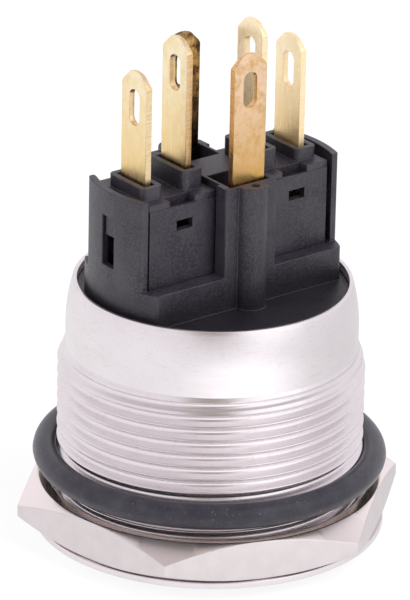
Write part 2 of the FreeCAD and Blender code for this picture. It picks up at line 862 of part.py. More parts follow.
def make_contact_bridge(hand):
    x = SIDES[hand] * contact_mid
    name = hand + "_contact_bridge"
    strip = block(name + "_strip", about(x, bridge_half_length), about(s.row_y, s.bridge_half_width),
                  (bridge_bottom, bridge_top))
    pads = [
        rod("%s_pad_%s" % (name, place), s.pad_radius, bridge_bottom, bridge_top + s.pad_height,
            x + side * (bridge_half_length - s.pad_radius), s.row_y)
        for place, side in SIDES.items()
    ]
    return fused(name, strip, *pads)


def make_module_spring(hand):
    spring = coil(hand + "_module_spring", s.module_spring_radius, s.module_spring_wire,
                  s.module_spring_turns, head_top + s.press_gap, cavity_top - s.press_gap)
    spring.Placement = FreeCAD.Placement(
        FreeCAD.Vector(SIDES[hand] * contact_mid.value, s.row_y.value, 0), FreeCAD.Rotation())
    return spring


# Solder blades: flat strip with cut corners, coined tip and a wire slot.
def blade(name, tip, bottom):
    """A blade about the Z axis, its width along Y and its thickness along X."""
    half, edge = s.blade_width / 2, s.blade_width / 2 - s.blade_corner_width
    crown_radius = (edge * edge + s.blade_crown * s.blade_crown) / (2 * s.blade_crown)
    outline = plate(name + "_outline", "YZ_Plane", [
        (-half, bottom),
        (half, bottom),
        (half, tip - s.blade_corner_height),
        (edge, tip - s.blade_crown, crown_radius),
        (-edge, tip - s.blade_crown),
        (-half, tip - s.blade_corner_height),
    ], s.blade_thickness)
    thick, thin = s.blade_thickness / 2, s.coin_thickness / 2
    coin = plate(name + "_coin", "XZ_Plane", [
        (-thick, bottom),
        (thick, bottom),
        (thick, tip - s.coin_length),
        (thin, tip),
        (-thin, tip),
        (-thick, tip - s.coin_length),
    ], s.blade_width)
    end_radius = s.slot_width / 2
    slot_low, slot_high = about(tip - s.slot_drop, s.slot_length / 2 - end_radius)
    slot = fused(
        name + "_slot",
        block(name + "_slot_middle", about(0, thick), about(0, end_radius), (slot_low, slot_high)),
        cross_pin(name + "_slot_foot", end_radius, s.blade_thickness, slot_low),
        cross_pin(name + "_slot_head", end_radius, s.blade_thickness, slot_high),
    )
    return cut(name, shared(name + "_blank", outline, coin), slot)


def make_contact_terminal(hand, place):
    side = SIDES[hand]
    x = side * terminal_x[place]
    name = "%s_%s_terminal" % (hand, place)
    strip = blade(name + "_blade", terminal_tips[place], foot_bottom)
    move(strip, x, s.row_y)
    inward = side if place == "inner" else -side
    half = s.blade_thickness / 2
    foot_end = side * contact_mid - inward * foot_clear
    foot_x = (x - half, foot_end) if inward > 0 else (foot_end, x + half)
    foot = block(name + "_foot", foot_x, about(s.row_y, s.foot_half_width), (foot_bottom, foot_top))
    return fused(name, strip, foot)


def make_led_terminal(end):
    side = LED_SIDES[end]
    name = end + "_led_terminal"
    y = s.row_y + side * led_blade_y
    strip = blade(name + "_blade", led_tips[end], led_blade_bottom)
    move(strip, 0, y, turn=90)
    half = s.blade_thickness / 2
    leg_x = about(0, s.leg_half_width)
    own_leg_y = side * leg_y
    bend = (y - half, own_leg_y + half) if side > 0 else (own_leg_y - half, y + half)
    upper = block(name + "_upper_leg", leg_x, about(y, half), (leg_bend, led_blade_bottom))
    elbow = block(name + "_elbow", leg_x, bend, (leg_bend, leg_bend + s.blade_thickness))
    lower = block(name + "_lower_leg", leg_x, about(own_leg_y, half), (board_back, leg_bend))
    return fused(name, strip, upper, elbow, lower)


parts = [
    make_barrel(),
    make_nut(),
    make_panel_ring(),
    make_button_cap(),
    make_ring_lens(),
    make_led_board(),
    make_resistor(),
    make_guide_bush(),
    make_stem_seal(),
    make_seal_washer(),
    make_retaining_clip(),
    make_cross_bar(),
    make_return_spring(),
    make_rear_housing(),
    make_led_terminal("front"),
    make_led_terminal("rear"),
]
parts += [make_lamp(number) for number in range(1, int(s.lamp_count.value) + 1)]
for hand in SIDES:
    parts += [make_module_case(hand), make_module_plunger(hand), make_contact_bridge(hand)]
    parts += [make_module_spring(hand)]
    parts += [make_contact_terminal(hand, place) for place in ("inner", "outer")]
doc.recompute()

for thing in doc.Objects:
    if "Invalid" in thing.State or "Error" in thing.State:
        raise RuntimeError("%s failed: %s" % (thing.Name, thing.State))
for part in parts:
    part.Label = part.Name
    if part.Shape.isNull() or not part.Shape.isValid() or len(part.Shape.Solids) != 1:
        raise RuntimeError("%s has no single valid solid" % part.Label)

os.makedirs("parts", exist_ok=True)
for part in parts:
    part.Shape.exportStep("parts/%s.step" % part.Label)
    print("%-24s %8.2f mm3" % (part.Label, part.Shape.Volume))
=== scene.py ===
# %% [markdown]
# # A steel panel push button, standing on its face
#
# The real switch is a turned steel barrel with a fine thread, a hex nut and a rubber ring on it,
# and a black moulded housing behind that carries six brass solder blades. This lesson starts from
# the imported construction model, which holds every piece at its real size. Blender adds what the
# construction leaves plain: the round roots of the thread, soft edges, and a finish for every
# surface.

import json
import math

import bpy
from mathutils import Matrix, Vector


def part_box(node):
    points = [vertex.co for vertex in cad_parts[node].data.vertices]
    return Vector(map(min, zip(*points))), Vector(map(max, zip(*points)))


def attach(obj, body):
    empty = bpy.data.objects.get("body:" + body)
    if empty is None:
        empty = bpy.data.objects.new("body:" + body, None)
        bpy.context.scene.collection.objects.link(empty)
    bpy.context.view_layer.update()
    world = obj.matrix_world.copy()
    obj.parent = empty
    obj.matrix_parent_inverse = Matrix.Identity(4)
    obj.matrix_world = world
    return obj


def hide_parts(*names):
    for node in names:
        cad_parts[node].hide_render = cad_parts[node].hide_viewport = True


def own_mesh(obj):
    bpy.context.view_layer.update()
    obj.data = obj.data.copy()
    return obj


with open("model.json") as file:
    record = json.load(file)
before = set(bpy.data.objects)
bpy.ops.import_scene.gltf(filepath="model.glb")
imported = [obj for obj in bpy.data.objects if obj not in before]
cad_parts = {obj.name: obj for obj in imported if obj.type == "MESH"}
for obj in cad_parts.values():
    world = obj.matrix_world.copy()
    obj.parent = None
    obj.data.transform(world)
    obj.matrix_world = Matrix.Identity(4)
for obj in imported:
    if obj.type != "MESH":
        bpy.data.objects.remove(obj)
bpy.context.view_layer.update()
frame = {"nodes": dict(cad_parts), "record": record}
MM = 0.001

# %% [markdown]
# ## Selecting before each operator
#
# Blender's operators act on whatever is selected, as they do when working by hand. A few small
# helpers keep that in order: one selects whole objects, the others enter edit mode with all of a
# piece, or with the corners or edges that pass a test. Two more measure a piece.

# %% Selection helpers
def only(*things):
    """Select these objects and nothing else; the first becomes active."""
    bpy.ops.object.select_all(action="DESELECT")
    for thing in things:
        thing.select_set(True)
    bpy.context.view_layer.objects.active = things[0]


def pick(piece, kind, test):
    """Enter edit mode with the corners or edges of a piece that pass a test."""
    only(piece)
    bpy.ops.object.mode_set(mode="EDIT")
    bpy.ops.mesh.select_mode(type=kind)
    bpy.ops.mesh.select_all(action="DESELECT")
    bpy.ops.object.mode_set(mode="OBJECT")
    mesh = piece.data
    for item in {"VERT": mesh.vertices, "EDGE": mesh.edges}[kind]:
        item.select = test(item)
    bpy.ops.object.mode_set(mode="EDIT")


def pick_all(piece):
    """Enter edit mode with everything of a piece."""
    only(piece)
    bpy.ops.object.mode_set(mode="EDIT")
    bpy.ops.mesh.select_mode(type="VERT")
    bpy.ops.mesh.select_all(action="SELECT")


def leave_edit():
    bpy.ops.object.mode_set(mode="OBJECT")


def triangles(piece):
    return sum(len(face.vertices) - 2 for face in piece.data.polygons)


def ends(piece, edge):
    """The places of the two ends of an edge, in millimetres."""
    return [piece.data.vertices[end].co / MM for end in edge.vertices]


print("the largest piece of the construction has",
      max(triangles(piece) for piece in frame["nodes"].values()), "triangles")

# %% [markdown]
# ## The camera
#
# The photograph was taken with a long lens from the front left and a little above. The lens and
# the place below were worked out from the sizes of the nut, the thread and the rim, so the render
# lines up with the picture. Heights and distances are in millimetres.

# %% Camera
PICTURE_WIDTH, PICTURE_HEIGHT = 410, 600
FOCAL_PIXELS = 5672.7
SENSOR_HEIGHT = 36.0
CLIP_NEAR, CLIP_FAR = 10, 10000
CAMERA_AZIMUTH = math.radians(-38.0)
CAMERA_ELEVATION = math.radians(22.683)
CAMERA_ROLL = math.radians(1.223)
CAMERA_DISTANCE = 403.0
TARGET_SIDE, TARGET_HEIGHT = -0.543, 17.747

to_camera = Vector((
    math.sin(CAMERA_AZIMUTH) * math.cos(CAMERA_ELEVATION),
    -math.cos(CAMERA_AZIMUTH) * math.cos(CAMERA_ELEVATION),
    math.sin(CAMERA_ELEVATION),
))
level_right = Vector((math.cos(CAMERA_AZIMUTH), math.sin(CAMERA_AZIMUTH), 0.0))
level_up = to_camera.cross(level_right)
right = math.cos(CAMERA_ROLL) * level_right + math.sin(CAMERA_ROLL) * level_up
up = math.cos(CAMERA_ROLL) * level_up - math.sin(CAMERA_ROLL) * level_right
target = (level_right * TARGET_SIDE + Vector((0, 0, TARGET_HEIGHT))) * MM

lens = bpy.data.cameras.new("camera")
lens.sensor_fit = "VERTICAL"
lens.sensor_height = SENSOR_HEIGHT
lens.lens = FOCAL_PIXELS * SENSOR_HEIGHT / PICTURE_HEIGHT
lens.clip_start, lens.clip_end = CLIP_NEAR * MM, CLIP_FAR * MM
camera = bpy.data.objects.new("camera", lens)
bpy.context.scene.collection.objects.link(camera)
axes = Matrix((right, up, to_camera)).transposed().to_4x4()
camera.matrix_world = Matrix.Translation(target + to_camera * CAMERA_DISTANCE * MM) @ axes
bpy.context.scene.camera = camera
print("lens of", round(lens.lens, 1), "mm, picture", PICTURE_WIDTH, "by", PICTURE_HEIGHT)

# %% [markdown]
# ## Nodes in words
#
# Light and finishes are node trees. In the editor each node is added, set and wired by hand; these
# helpers do the same in one line each, so that a finish further down reads as a list of steps. A
# value given to a node may be a number, a colour, or the output of another node.

# %% Node helpers
def feed(tree, value, entry):
    """Give an input a number, a direction or a colour, or the output of another node."""
    if isinstance(value, bpy.types.NodeSocket):
        tree.links.new(value, entry)
    elif entry.type == "RGBA":
        entry.default_value = (*value, 1.0)
    else:
        entry.default_value = value


def node(tree, kind, *values, **properties):
    """Add a shader node with these properties, and feed its first inputs."""
    new = tree.nodes.new("ShaderNode" + kind)
    for name, value in properties.items():
        setattr(new, name, value)
    for entry, value in zip(new.inputs, values):
        feed(tree, value, entry)
    return new


def maths(tree, operation, *values):
    """The number that a Math node gives."""
    return node(tree, "Math", *values, operation=operation).outputs["Value"]


def vector(tree, operation, *values):
    """The vector that a Vector Math node gives."""
    return node(tree, "VectorMath", *values, operation=operation).outputs["Vector"]


def measure(tree, operation, *values):
    """The number that a Vector Math node gives, such as a length or a distance."""
    return node(tree, "VectorMath", *values, operation=operation).outputs["Value"]


def spread(tree, value, span, result=(0.0, 1.0), curve="LINEAR"):
    """Turn one range of a value into another."""
    return node(tree, "MapRange", value, *span, *result, interpolation_type=curve).outputs["Result"]


def blended(tree, share, first, second):
    """Mix two colours: all of the first where the share is 0, all of the second where it is 1."""
    mix = node(tree, "Mix", data_type="RGBA")
    for name, value in (("Factor", share), ("A", first), ("B", second)):
        feed(tree, value, mix.inputs[name])
    return mix.outputs["Result"]


def mixed(tree, share, first, second):
    """Mix two shaders in the same way."""
    return node(tree, "MixShader", share, first, second).outputs[0]


def is_ray(tree, *kinds):
    """1 for rays of these kinds, 0 for all others."""
    path = node(tree, "LightPath")
    found = path.outputs[kinds[0]]
    for kind in kinds[1:]:
        found = maths(tree, "MAXIMUM", found, path.outputs[kind])
    return found


# %% [markdown]
# ## The room that the metal mirrors
#
# Bare metal shows little but its surroundings, so they matter more than the lamps. A few soft
# lobes of colour on a pale room are easier to steer than a picture of a real one: a darker
# ceiling, one open and darker side behind the camera, and a tall white panel to the right of it,
# which gives the barrel its white stripe. Only mirror rays see this room. The camera sees plain
# white, also through clear plastic, because the picture is a cut-out, and all other rays meet an
# even, pale surround.

# %% Room colours and lobes
ROOM_WHITE = (0.93, 0.90, 0.93)
CEILING = (0.60, 0.555, 0.575)
OPEN_SIDE = (0.42, 0.375, 0.345)
PANEL_WHITE = (1.3, 1.3, 1.3)
AMBIENT = (0.72, 0.71, 0.74)
CUT_OUT_WHITE = (1.0, 1.0, 1.0)
# A lobe is an azimuth, an elevation, an inner reach and an outer reach, all in degrees
CEILING_LOBES = ((0, 90, 12, 58),)
OPEN_LOBES = ((-38, 20, 5, 24), (-38, 50, 6, 24), (-38, 78, 4, 20))
PANEL_LOBES = ((14, 20, 16, 34), (14, 54, 6, 26))


def direction(azimuth, elevation):
    """A direction as (x, y, z); azimuth 0 looks from the front, positive towards +X."""
    azimuth, elevation = math.radians(azimuth), math.radians(elevation)
    return (math.sin(azimuth) * math.cos(elevation), -math.cos(azimuth) * math.cos(elevation),
            math.sin(elevation))


def lobe(tree, ray, azimuth, elevation, inner, outer):
    """1 within `inner` degrees of a direction, fading to 0 at `outer` degrees."""
    towards = measure(tree, "DOT_PRODUCT", ray, direction(azimuth, elevation))
    span = (math.cos(math.radians(outer)), math.cos(math.radians(inner)))
    return spread(tree, towards, span, curve="SMOOTHSTEP")


# %% World
world = bpy.data.worlds.new("studio")
bpy.context.scene.world = world
world.use_nodes = True
sky = world.node_tree
sky.nodes.clear()
ray = vector(sky, "NORMALIZE", node(sky, "TexCoord").outputs["Generated"])
room = ROOM_WHITE
for colour, lobes in ((CEILING, CEILING_LOBES), (OPEN_SIDE, OPEN_LOBES),
                      (PANEL_WHITE, PANEL_LOBES)):
    for place in lobes:
        room = blended(sky, lobe(sky, ray, *place), room, colour)
surround, mirrored, plain = (node(sky, "Background", colour).outputs[0]
                             for colour in (AMBIENT, room, CUT_OUT_WHITE))
bounced = mixed(sky, is_ray(sky, "Is Glossy Ray"), surround, mirrored)
seen = mixed(sky, is_ray(sky, "Is Camera Ray", "Is Transmission Ray"), bounced, plain)
node(sky, "OutputWorld", seen)
print("world of", len(sky.nodes), "nodes")

# %% [markdown]
# ## Lamps
#
# Two large, soft area lamps give the black mouldings their shape: a key lamp from the front right
# and a weaker one from the left. They stay out of the mirror rays, because the metal already
# mirrors the room, and a lamp in it would show as a hard square.

# %% Lamps
LAMP_DISTANCE, LAMP_SIZE = 0.5, 0.35


def soft_lamp(name, azimuth, elevation, power):
    """A square lamp, its power in watts, that faces the middle of the switch."""
    lamp = bpy.data.lights.new(name, "AREA")
    lamp.size = LAMP_SIZE
    lamp.energy = power
    lamp_object = bpy.data.objects.new(name, lamp)
    bpy.context.scene.collection.objects.link(lamp_object)
    towards = Vector(direction(azimuth, elevation))
    middle = Vector((0, 0, TARGET_HEIGHT * MM))
    lamp_object.location = middle + towards * LAMP_DISTANCE
    lamp_object.rotation_euler = towards.to_track_quat("Z", "Y").to_euler()
    lamp_object.visible_glossy = False
    print(name, "of", power, "watts")


soft_lamp("key_lamp", azimuth=20, elevation=48, power=3.2)
soft_lamp("left_lamp", azimuth=-95, elevation=30, power=1.6)

# %% [markdown]
# ## Floor
#
# The switch stands on white paper. A plain white surface would render grey in places and draw a
# horizon, so most of it glows like the white around it, and the share that doesn't glow keeps a
# faint shadow. Metal mirrors a floor whose glow is painted light: darker to the right, with two
# painted pools of light in front, as lamps leave them on a table. From below the paper is clear.

# %% Floor
FLOOR_REACH, FLOOR_DROP = 0.45, 0.00002
PAPER, PAPER_ROUGHNESS, PAPER_SHINE = (0.92, 0.91, 0.92), 0.9, 0.1
GLOW_SHARE = 0.86
# How bright metal mirrors the left and the right, and where the one fades to the other, in metres
FLOOR_LEFT, FLOOR_RIGHT, FLOOR_FALL = 0.88, 0.70, (-0.02, 0.05)
# A painted pool of light is a centre and a reach in metres, and what it adds in its middle
FLOOR_LIGHT_POOLS = (((-0.012, -0.058, 0.0), 0.055, 0.66), ((0.03, -0.20, 0.0), 0.13, 0.30))

bpy.ops.object.select_all(action="DESELECT")
bpy.ops.mesh.primitive_plane_add(size=2 * FLOOR_REACH, location=(0, 0, -FLOOR_DROP))
floor = bpy.context.object
floor.name = "floor"
paper = bpy.data.materials.new("white_paper")
paper.use_nodes = True
tree = paper.node_tree
matt = tree.nodes["Principled BSDF"]
for name, value in (("Base Color", PAPER), ("Roughness", PAPER_ROUGHNESS),
                    ("Specular IOR Level", PAPER_SHINE)):
    feed(tree, value, matt.inputs[name])
place = node(tree, "TexCoord").outputs["Object"]
across = node(tree, "SeparateXYZ", place).outputs["X"]
# Painted light: the glow falls off to the right, and the pools of light add to it
bright = spread(tree, across, FLOOR_FALL, (FLOOR_LEFT, FLOOR_RIGHT), "SMOOTHSTEP")
for centre, reach, gain in FLOOR_LIGHT_POOLS:
    away = measure(tree, "DISTANCE", place, centre)
    bright = maths(tree, "ADD", bright, spread(tree, away, (0.0, reach), (gain, 0.0), "SMOOTHSTEP"))
strength = node(tree, "Mix", data_type="FLOAT")
for name, value in (("Factor", is_ray(tree, "Is Camera Ray")), ("A", bright), ("B", 1.0)):
    feed(tree, value, strength.inputs[name])
glow = node(tree, "Emission", (1.0, 1.0, 1.0), strength.outputs["Result"]).outputs[0]
glowing = is_ray(tree, "Is Camera Ray", "Is Glossy Ray", "Is Transmission Ray")
face = mixed(tree, maths(tree, "MULTIPLY", glowing, GLOW_SHARE), matt.outputs[0], glow)
below = node(tree, "NewGeometry").outputs["Backfacing"]
sheet = mixed(tree, below, face, node(tree, "BsdfTransparent").outputs[0])
feed(tree, sheet, tree.nodes["Material Output"].inputs["Surface"])
floor.data.materials.append(paper)
print("floor of", 2 * FLOOR_REACH, "m with", len(FLOOR_LIGHT_POOLS), "bright patches")

# %% [markdown]
# ## Finishes
#
# Each finish starts from a Principled shader. What makes it read as a real surface is its fine
# detail at the right scale: turning lines a few hundredths of a millimetre apart, the spark-eroded
# grain of a mould, dust on rubber, tarnish on brass. Pictures of such surfaces would need every
# piece unwrapped, so all of it is built from noise on Object coordinates instead. These are in
# metres, so a Mapping step turns them into millimetres first.

# %% Helpers for finishes
FINISHES = {}
NOISE_MIDDLE = (0.3, 0.7)
CLOUD_MIDDLE = (0.35, 0.7)
BROAD_MIDDLE = (0.35, 0.75)


def new_finish(slot, name, colour, metallic, roughness):
    """A finish from its plain values, which its patterns then vary."""
    finish = bpy.data.materials.new(name)
    finish.use_nodes = True
    tree = finish.node_tree
    shader = tree.nodes["Principled BSDF"]
    feed(tree, colour, shader.inputs["Base Color"])
    shader.inputs["Metallic"].default_value = metallic
    shader.inputs["Roughness"].default_value = roughness
    FINISHES[slot] = finish
    print("finish", name, "for", slot)
    return tree, shader


def millimetres(tree, stretch=(1, 1, 1)):
    """Object coordinates in millimetres, stretched along the axes."""
    scale = node(tree, "Mapping", node(tree, "TexCoord").outputs["Object"])
    scale.inputs["Scale"].default_value = [number / MM for number in stretch]
    return scale.outputs["Vector"]


def noise(tree, place, scale, detail=3.0, roughness=0.5):
    """A cloudy pattern of values round the middle of 0 to 1; a larger scale is finer."""
    cloud = node(tree, "TexNoise", place)
    for name, value in (("Scale", scale), ("Detail", detail), ("Roughness", roughness)):
        cloud.inputs[name].default_value = value
    return cloud.outputs["Fac"]


def facing(tree):
    """The way the surface of the piece looks."""
    return node(tree, "TexCoord").outputs["Normal"]


def height(tree, place):
    """How high a place lies, or how far up a direction points."""
    return node(tree, "SeparateXYZ", place).outputs["Z"]


def coloured(tree, shader, colour):
    feed(tree, colour, shader.inputs["Base Color"])


def roughened(tree, shader, pattern):
    feed(tree, pattern, shader.inputs["Roughness"])


def raised(tree, shader, pattern, depth):
    """Bump: `depth` is the relief in millimetres."""
    bump = node(tree, "Bump")
    bump.inputs["Distance"].default_value = depth * MM
    bump.inputs["Strength"].default_value = 1.0
    feed(tree, pattern, bump.inputs["Height"])
    feed(tree, bump.outputs["Normal"], shader.inputs["Normal"])


# %% [markdown]
# ## Turned steel
#
# The barrel and the cap come off a lathe, so fine lines run round them. Noise gives such lines
# when its coordinates change fast along the axis and slowly round it, on every face and without
# an unwrapped map. The lines vary the roughness and are raised by one to four micrometres, broad
# patches shift the tint a little, and a few streaks carry a thin brown smear of oil.

# %% Turned steel
ACROSS_LINES = 1.37
# The smear colour is real oil in streaks on the barrel, and painted shade on the nut's top
SMEAR_AND_SHADE_COLOUR, SMEAR_SHARE, STREAK_PEAKS = (0.66, 0.57, 0.50), 0.3, (0.56, 0.74)
TURNED_ROUGHNESS = (0.21, 0.31)


def around_axis(tree, fineness, sweep):
    """Coordinates that change fast along and across the axis and slowly round it."""
    place = millimetres(tree)
    flat = vector(tree, "MULTIPLY", place, (1, 1, 0))
    radius = measure(tree, "LENGTH", flat)
    outward = vector(tree, "NORMALIZE", flat)
    along = maths(tree, "MULTIPLY_ADD", radius, ACROSS_LINES, height(tree, place))
    fine = maths(tree, "MULTIPLY", along, fineness)
    lifted = node(tree, "CombineXYZ", 0.0, 0.0, fine).outputs["Vector"]
    slow = vector(tree, "MULTIPLY", outward, (sweep, sweep, sweep))
    return vector(tree, "ADD", slow, lifted)


def turned_steel(slot, name, colour, dark, line_depth):
    tree, shader = new_finish(slot, name, colour, metallic=1.0, roughness=0.24)
    lines = noise(tree, around_axis(tree, fineness=9.0, sweep=1.2), scale=1.6, detail=4.0,
                  roughness=0.62)
    patches = noise(tree, around_axis(tree, fineness=0.5, sweep=3.0), scale=1.3, detail=2.0)
    tint = blended(tree, spread(tree, patches, CLOUD_MIDDLE), colour, dark)
    streaks = noise(tree, around_axis(tree, fineness=3.2, sweep=9.0), scale=1.5, roughness=0.6)
    smeared = spread(tree, streaks, STREAK_PEAKS, (0.0, SMEAR_SHARE))
    coloured(tree, shader, blended(tree, smeared, tint, SMEAR_AND_SHADE_COLOUR))
    roughened(tree, shader, spread(tree, lines, NOISE_MIDDLE, TURNED_ROUGHNESS))
    raised(tree, shader, lines, line_depth)


turned_steel("steel", "turned_steel", colour=(0.84, 0.79, 0.815), dark=(0.81, 0.76, 0.785),
             line_depth=0.0011)
turned_steel("cap_steel", "brushed_cap_steel", colour=(0.80, 0.78, 0.79), dark=(0.72, 0.70, 0.71),
             line_depth=0.004)

# %% [markdown]
# ## Satin steel
#
# The nut has an even, grainy satin, which plain noise gives. Its flat top is finer, and painted
# shade darkens it towards a brown; its chamfer is the brightest part, a painted highlight. Neither
# needs a mask painted on: the Normal output tells which way a face looks, and its Z is 1 on the top
# and about 0.9 on the chamfer. The springs and the clip wear the same grain in a darker steel.

# %% Satin steel
SATIN_ROUGHNESS = (0.26, 0.42)
CHAMFER_HIGHLIGHT_LOOKS, TOP_SHADE_LOOKS, TOP_LOOKS = (0.6, 0.8), (0.9, 0.97), (0.93, 0.97)


def satin_steel(slot, name, colour, dark, top_share=1.0, painted_shade=0.0, chamfer_highlight=None):
    """`top_share` is how rough the flat top is against the rest, `painted_shade` how much painted
    shade darkens it, and `chamfer_highlight` the colour of the painted highlight on the slope."""
    tree, shader = new_finish(slot, name, colour, metallic=1.0, roughness=0.34)
    place = millimetres(tree)
    grain = noise(tree, place, scale=9.0, detail=5.0, roughness=0.65)
    clouds = noise(tree, place, scale=0.8)
    tint = blended(tree, spread(tree, clouds, CLOUD_MIDDLE), colour, dark)
    upward = height(tree, facing(tree))
    # Painted highlight: the chamfer gets a lighter colour where the surface looks up at its slope
    if chamfer_highlight:
        tint = blended(tree, spread(tree, upward, CHAMFER_HIGHLIGHT_LOOKS), tint, chamfer_highlight)
    # Painted shade: the flat top is darkened towards the smear colour
    shaded_top = spread(tree, upward, TOP_SHADE_LOOKS, (0.0, painted_shade))
    coloured(tree, shader, blended(tree, shaded_top, tint, SMEAR_AND_SHADE_COLOUR))
    rough = spread(tree, grain, NOISE_MIDDLE, SATIN_ROUGHNESS)
    finer = spread(tree, upward, TOP_LOOKS, (1.0, top_share))
    roughened(tree, shader, maths(tree, "MULTIPLY", rough, finer))
    raised(tree, shader, grain, depth=0.004)


# The nut's chamfer colour is a painted highlight, and the darkening of its top is painted shade
satin_steel("nut_steel", "satin_nut_steel", colour=(0.76, 0.70, 0.71), dark=(0.71, 0.65, 0.66),
            top_share=0.45, painted_shade=0.9, chamfer_highlight=(0.98, 0.89, 0.88))
satin_steel("spring_steel", "drawn_spring_steel", colour=(0.52, 0.52, 0.53),
            dark=(0.40, 0.40, 0.42))

# %% [markdown]
# ## Rubber
#
# Black rubber is never quite black: dust sits on it as a haze and as pale specks. The specks are
# the peaks of a fine noise, cut off sharply. A little sheen brightens the edge of the ring, where
# the dust is seen at a shallow angle.

# %% Rubber
SHEEN, SHEEN_ROUGHNESS, SHEEN_TINT = 0.12, 0.35, (0.92, 0.90, 1.0)
HAZE_SHARE, SPECK_PEAKS = 0.12, (0.70, 0.74)


def dusty_rubber(slot, name, colour, dust):
    tree, shader = new_finish(slot, name, colour, metallic=0.0, roughness=0.36)
    for entry, value in (("Sheen Weight", SHEEN), ("Sheen Roughness", SHEEN_ROUGHNESS),
                         ("Sheen Tint", SHEEN_TINT)):
        feed(tree, value, shader.inputs[entry])
    place = millimetres(tree)
    specks = noise(tree, place, scale=8.5, detail=2.0, roughness=0.4)
    haze = noise(tree, place, scale=0.7)
    base = blended(tree, spread(tree, haze, BROAD_MIDDLE, (0.0, HAZE_SHARE)), colour, dust)
    coloured(tree, shader, blended(tree, spread(tree, specks, SPECK_PEAKS), base, dust))
    raised(tree, shader, noise(tree, place, scale=14.0), depth=0.006)


dusty_rubber("rubber", "black_rubber", colour=(0.010, 0.009, 0.015), dust=(0.14, 0.13, 0.16))

# %% [markdown]
# ## Moulded plastic
#
# The housing and the modules come out of a mould with a spark-eroded grain, so they are matt and
# speckled. One noise gives the grain, a second one pale worn flecks, and a slow one clouds. The
# foot of the housing, inside the rim, is darker with painted shade, which fades with the height.
# The white bar and plungers, the board and the lamps wear the same finish in other colours.

# %% Moulded plastic
CLOUD_SHARE, FLECK_PEAKS, FLECK_SHARE = 0.8, (0.45, 0.62), 0.9
# Painted shade at the foot: heights in millimetres over which it fades out, and its share at the
# bottom
FOOT_SHADE_HEIGHTS, FOOT_SHADE_SHARE = (19.6, 21.4), 0.65
SMOOTHER, ROUGHER = 0.07, 0.1


def moulding(slot, name, colour, worn, roughness, grain_depth=0.008, foot=None):
    """`foot` is the colour of the painted shade at the foot of the housing, inside the rim."""
    tree, shader = new_finish(slot, name, colour, metallic=0.0, roughness=roughness)
    place = millimetres(tree)
    grain = noise(tree, place, scale=7.5, detail=4.0, roughness=0.6)
    flecks = noise(tree, place, scale=7.0, detail=2.0)
    clouds = noise(tree, place, scale=0.45)
    tint = blended(tree, spread(tree, clouds, BROAD_MIDDLE, (0.0, CLOUD_SHARE)), colour, worn)
    tint = blended(tree, spread(tree, flecks, FLECK_PEAKS, (0.0, FLECK_SHARE)), tint, worn)
    if foot:
        # Painted shade: the foot gets darker towards the bottom, where the rim shades it
        painted_shade = spread(tree, height(tree, place), FOOT_SHADE_HEIGHTS, (FOOT_SHADE_SHARE, 0.0))
        tint = blended(tree, painted_shade, tint, foot)
    coloured(tree, shader, tint)
    around = (roughness - SMOOTHER, roughness + ROUGHER)
    roughened(tree, shader, spread(tree, grain, NOISE_MIDDLE, around))
    raised(tree, shader, grain, grain_depth)


# The near-black foot colour is painted shade
moulding("black_moulding", "black_moulding", colour=(0.010, 0.0083, 0.013),
         worn=(0.031, 0.027, 0.036), roughness=0.36, grain_depth=0.03,
         foot=(0.003, 0.0027, 0.004))
moulding("white_moulding", "white_moulding", colour=(0.70, 0.69, 0.65), worn=(0.78, 0.77, 0.73),
         roughness=0.45)
moulding("board", "green_board", colour=(0.05, 0.17, 0.08), worn=(0.07, 0.21, 0.11),
         roughness=0.35, grain_depth=0.004)
moulding("lamp_body", "lamp_body", colour=(0.80, 0.78, 0.68), worn=(0.86, 0.84, 0.74),
         roughness=0.3, grain_depth=0.003)

# %% [markdown]
# ## Brass
#
# The blades are stamped from drawn strip. Their wide faces have fine lines along the blade, their
# sheared edges are rougher to the eye and mottled, and tarnish spots them and gathers at the foot.
# Wide face and edge are told apart by the way they look, so one finish serves the whole blade.
# Blades age unevenly, so the same function makes bright and aged brass from other values, and a
# dark brass that is partly tarnish and partly painted shade.

# %% Brass
EDGE_LOOKS, EDGE_SHARE = (0.35, 0.75), 0.85
SPOT_PEAKS, TICK_MIDDLE = (0.6, 0.8), (0.35, 0.65)
DRAWN_LINES, SHEAR_TICKS = (1, 1, 0.12), (0.6, 0.6, 5.0)
BRASS_ROUGHNESS = (0.24, 0.4)
CROSSWISE = (0, 1, 0)


def stamped_brass(slot, name, colour, tarnish_and_shade, amount, sheared, broad=(1, 0, 0), foot=(28.6, 36.0),
                  foot_share=0.85, stained=(0.42, 0.72), metallic=1.0):
    """`broad` is the way the wide faces look; `foot` is where the tarnish of the foot starts to
    fade and where it ends."""
    tree, shader = new_finish(slot, name, colour, metallic, roughness=0.3)
    place = millimetres(tree)
    drawn = noise(tree, millimetres(tree, DRAWN_LINES), scale=6.0, detail=4.0, roughness=0.6)
    stain = noise(tree, place, scale=1.1, detail=6.0, roughness=0.7)
    spots = noise(tree, place, scale=4.5, detail=5.0, roughness=0.68)
    ticks = noise(tree, millimetres(tree, SHEAR_TICKS), scale=2.2, roughness=0.6)
    tint = blended(tree, spread(tree, stain, stained, (0.0, amount)), colour, tarnish_and_shade)
    tint = blended(tree, spread(tree, spots, SPOT_PEAKS, (0.0, amount)), tint, tarnish_and_shade)
    tint = blended(tree, spread(tree, height(tree, place), foot, (foot_share, 0.0)), tint, tarnish_and_shade)
    flat = maths(tree, "ABSOLUTE", measure(tree, "DOT_PRODUCT", facing(tree), broad))
    shear = blended(tree, spread(tree, ticks, TICK_MIDDLE), sheared, tarnish_and_shade)
    edge = spread(tree, flat, EDGE_LOOKS, (EDGE_SHARE, 0.0))
    coloured(tree, shader, blended(tree, edge, tint, shear))
    roughened(tree, shader, spread(tree, drawn, NOISE_MIDDLE, BRASS_ROUGHNESS))
    raised(tree, shader, drawn, depth=0.006)


